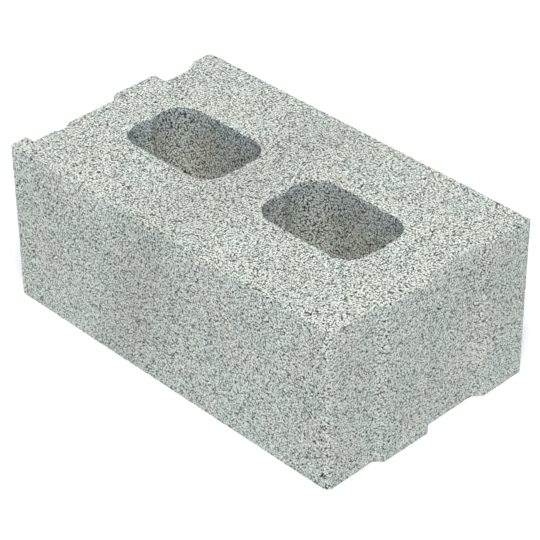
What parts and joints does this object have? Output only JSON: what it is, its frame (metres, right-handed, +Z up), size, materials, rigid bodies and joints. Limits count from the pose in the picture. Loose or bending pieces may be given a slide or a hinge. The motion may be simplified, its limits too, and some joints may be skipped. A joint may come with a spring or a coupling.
{
  "type": "concrete block",
  "caption": "Hollow concrete building block with two through cores and tongued ends that interlock with the next block.",
  "frame": {"origin": "centre of the bounding box, on the lower bed face", "axes": "+X along the length to the tongued end, +Y across the width to the back face, +Z up to the upper bed face"},
  "size_m": [0.495, 0.29, 0.2],
  "materials": {
    "concrete": "rough, open-grained, pale grey-green"
  },
  "bodies": {
    "root": {"concrete_block": "concrete"}
  },
  "joints": []
}
